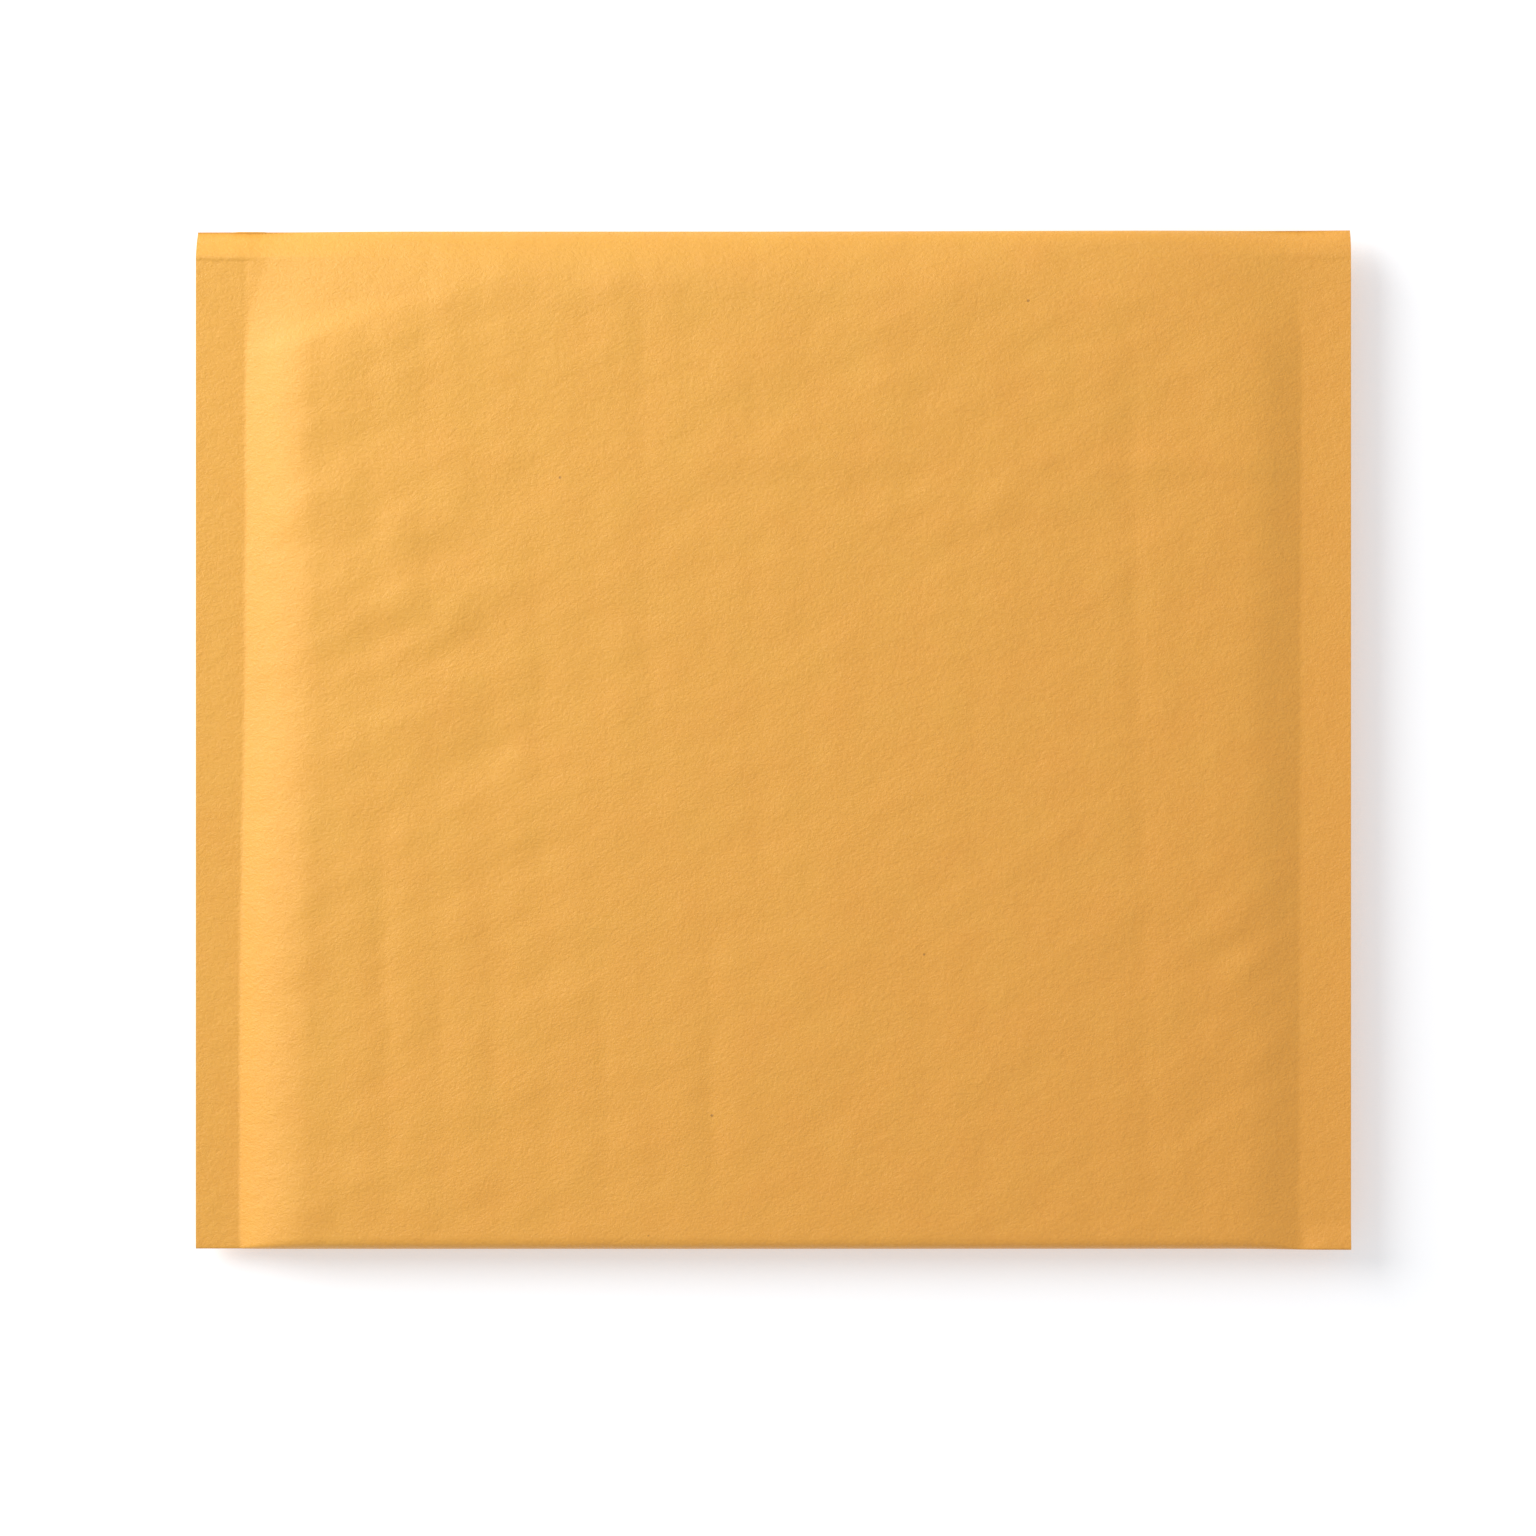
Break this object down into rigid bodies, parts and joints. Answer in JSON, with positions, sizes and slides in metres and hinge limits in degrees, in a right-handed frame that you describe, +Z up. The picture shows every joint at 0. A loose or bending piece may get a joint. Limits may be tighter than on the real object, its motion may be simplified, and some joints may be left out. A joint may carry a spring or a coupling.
{
  "type": "padded envelope",
  "caption": "Golden kraft mailing envelope lined with bubble film, empty and unsealed, lying address side up with its flap folded under.",
  "frame": {"origin": "centre of the envelope's footprint, on the plane it lies on", "axes": "+X across the envelope, parallel to the flap crease; +Y towards the flap crease; +Z up, out of the address side"},
  "size_m": [0.2, 0.1764, 0.0084],
  "materials": {
    "paper": "matte golden kraft, slightly fibrous",
    "film": "clear polythene",
    "adhesive": "tacky hot melt",
    "release": "smooth siliconised white"
  },
  "bodies": {
    "root": {"kraft_envelope": "paper", "bubble_liner": "film", "flap_adhesive": "adhesive", "release_strip": "release"}
  },
  "joints": []
}
